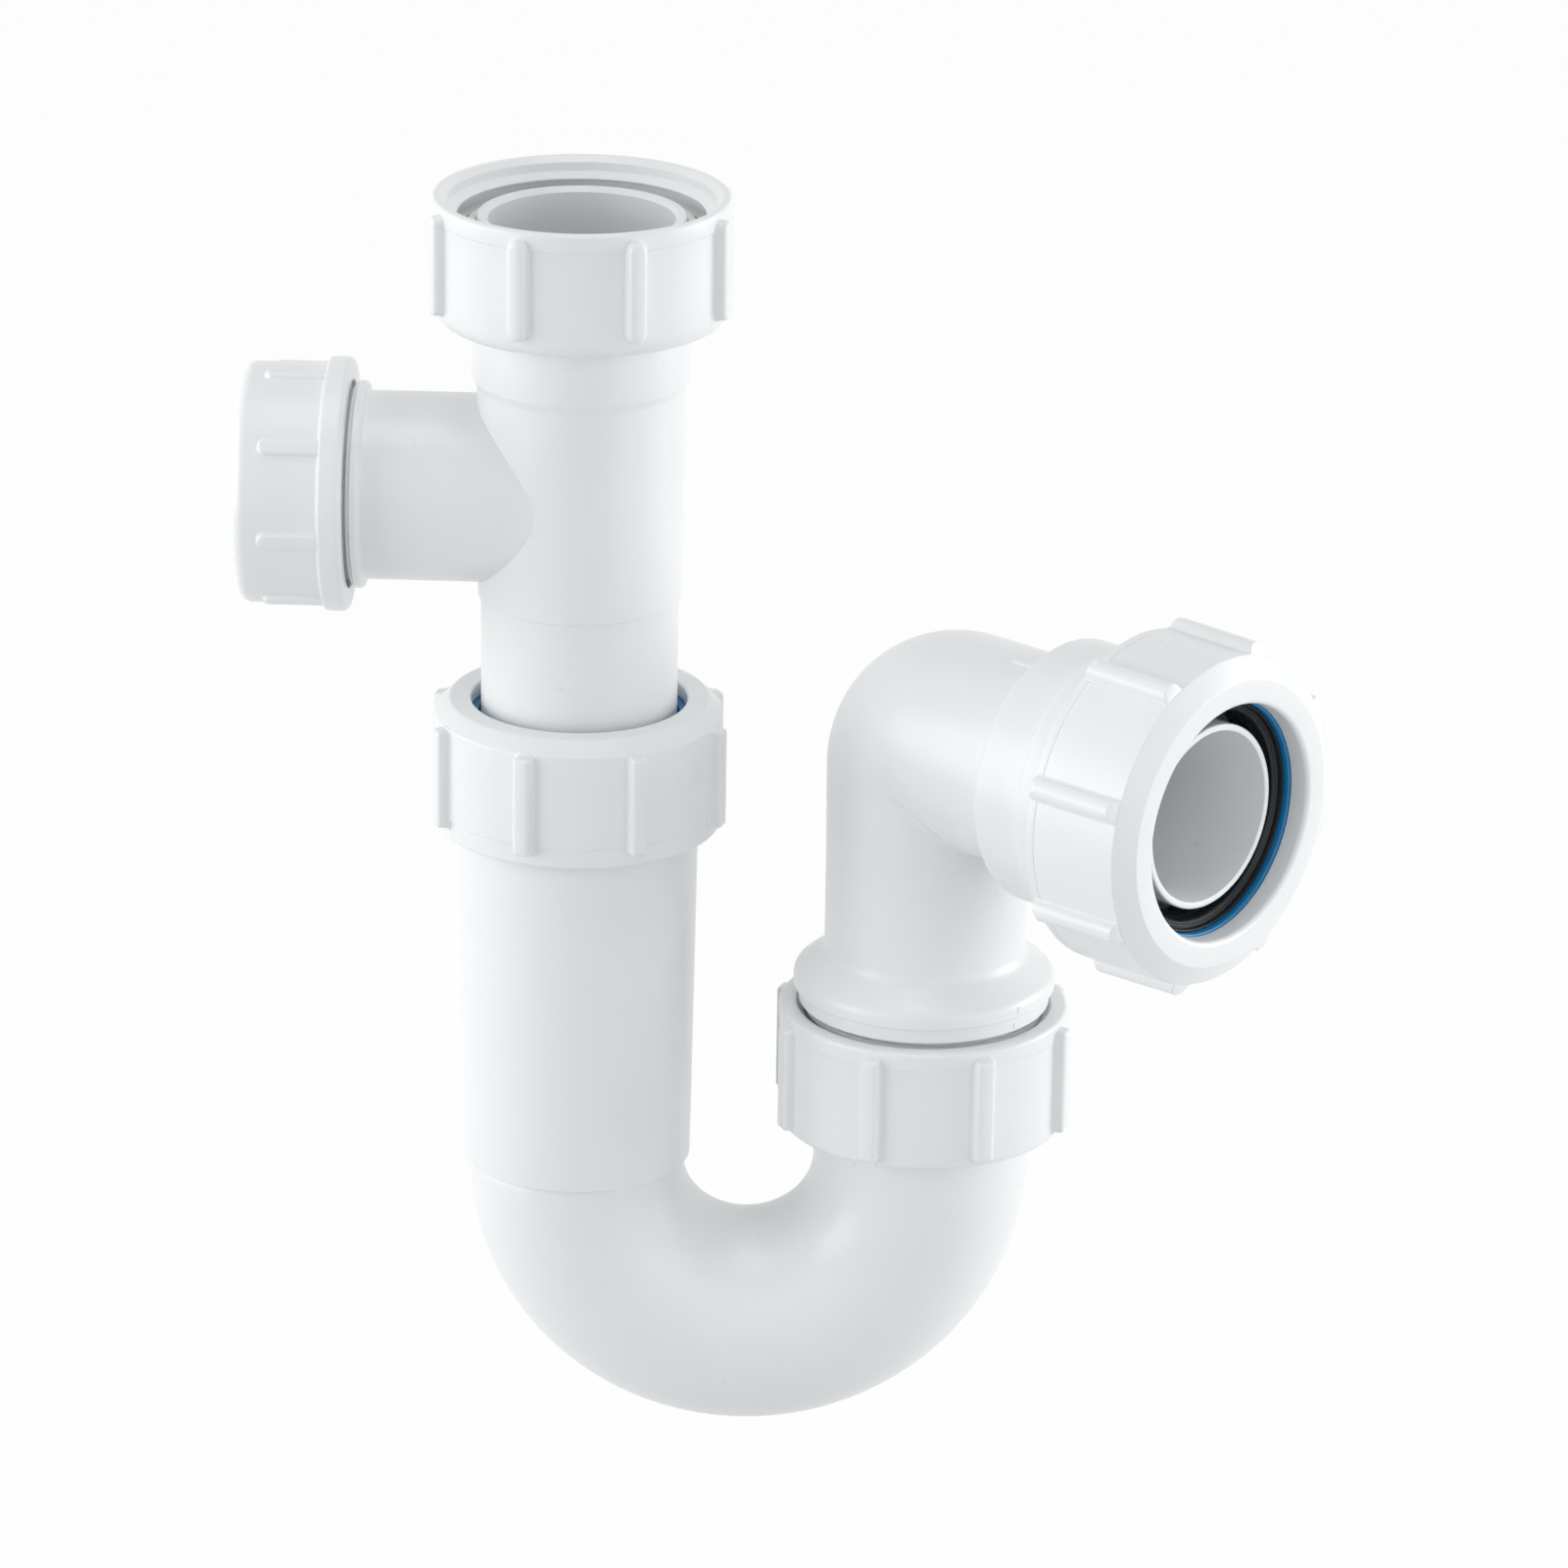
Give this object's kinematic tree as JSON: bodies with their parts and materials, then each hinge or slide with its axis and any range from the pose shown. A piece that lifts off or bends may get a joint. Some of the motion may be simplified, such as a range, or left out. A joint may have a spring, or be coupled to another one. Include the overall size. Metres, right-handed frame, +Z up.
{
  "type": "tubular trap",
  "caption": "White tubular swivel trap: inlet nut, tee with capped side branch, sliding spigot, return bend and swivelling outlet elbow; keeps a water seal under a basin or sink.",
  "frame": {"origin": "centre of the inlet nut's mouth, in the plane of its rim", "axes": "+Z up along the inlet's axis, out of the inlet nut; +X from the inlet leg to the outlet leg"},
  "size_m": [0.1856, 0.0914, 0.2243],
  "materials": {
    "white_plastic": "satin moulded polypropylene",
    "white_washer": "soft flat washer",
    "blue_plastic": "smooth moulded ring",
    "black_rubber": "smooth moulded seal"
  },
  "bodies": {
    "inlet_nut": {"inlet_nut": "white_plastic"},
    "inlet_washer": {"inlet_washer": "white_washer"},
    "inlet_tee": {"inlet_tee": "white_plastic"},
    "side_cap": {"side_cap": "white_plastic"},
    "side_cap_washer": {"side_cap_washer": "black_rubber"},
    "adjusting_nut": {"adjusting_nut": "white_plastic"},
    "adjusting_slip_ring": {"adjusting_slip_ring": "blue_plastic"},
    "adjusting_seal": {"adjusting_seal": "black_rubber"},
    "trap_body": {"trap_body": "white_plastic"},
    "union_nut": {"union_nut": "white_plastic"},
    "union_washer": {"union_washer": "white_washer"},
    "outlet_elbow": {"outlet_elbow": "white_plastic", "outlet_seal": "black_rubber"},
    "outlet_slip_ring": {"outlet_slip_ring": "blue_plastic"},
    "outlet_nut": {"outlet_nut": "white_plastic"}
  },
  "joints": [
    {"name": "inlet_play", "type": "slide", "parent": "inlet_nut", "child": "inlet_washer", "axis": [0, 0, 1], "range_m": [-0.01, 0.012]},
    {"name": "inlet_swivel", "type": "hinge", "parent": "inlet_washer", "child": "inlet_tee", "pos_m": [0, 0, -0.0055], "axis": [0, 0, 1], "continuous": true},
    {"name": "cap_travel", "type": "slide", "parent": "inlet_tee", "child": "side_cap_washer", "axis": [-0.9972, 0.075, 0], "range_m": [0, 0.00924]},
    {"name": "cap_turn", "type": "hinge", "parent": "side_cap_washer", "child": "side_cap", "pos_m": [0, 0, -0.0523], "axis": [-0.9972, 0.075, 0], "range_deg": [0, 1440]},
    {"name": "height_slide", "type": "slide", "parent": "inlet_tee", "child": "adjusting_seal", "axis": [0, 0, 1], "range_m": [-0.035, 0.013]},
    {"name": "body_swivel", "type": "hinge", "parent": "adjusting_seal", "child": "trap_body", "pos_m": [0, 0, -0.0945], "axis": [0, 0, 1], "range_deg": [-60, 60]},
    {"name": "adjusting_ring_travel", "type": "slide", "parent": "trap_body", "child": "adjusting_slip_ring", "axis": [0, 0, 1], "range_m": [0, 0.00693]},
    {"name": "adjusting_nut_turn", "type": "hinge", "parent": "adjusting_slip_ring", "child": "adjusting_nut", "pos_m": [0, 0, -0.093], "axis": [0, 0, 1], "range_deg": [0, 1080]},
    {"name": "union_nut_turn", "type": "hinge", "parent": "trap_body", "child": "union_nut", "pos_m": [0.0605, 0, -0.16], "axis": [0, 0, 1], "range_deg": [-1080, 0]},
    {"name": "union_lift", "type": "slide", "parent": "trap_body", "child": "union_washer", "axis": [0, 0, 1], "range_m": [0, 0.00693]},
    {"name": "elbow_swivel", "type": "hinge", "parent": "union_washer", "child": "outlet_elbow", "pos_m": [0.0605, 0, -0.155], "axis": [0, 0, 1], "range_deg": [-70, 158]},
    {"name": "outlet_ring_travel", "type": "slide", "parent": "outlet_elbow", "child": "outlet_slip_ring", "axis": [0.7193, -0.6947, 0], "range_m": [0, 0.00693]},
    {"name": "outlet_nut_turn", "type": "hinge", "parent": "outlet_slip_ring", "child": "outlet_nut", "pos_m": [0.10366, -0.04168, -0.0952], "axis": [0.7193, -0.6947, 0], "range_deg": [0, 1080]}
  ],
  "couplings": [
    {"joint": "cap_travel", "follows": "cap_turn", "m_per_rad": 0.00036749},
    {"joint": "adjusting_ring_travel", "follows": "adjusting_nut_turn", "m_per_rad": 0.00036749},
    {"joint": "union_lift", "follows": "union_nut_turn", "m_per_rad": -0.00036749},
    {"joint": "outlet_ring_travel", "follows": "outlet_nut_turn", "m_per_rad": 0.00036749}
  ]
}
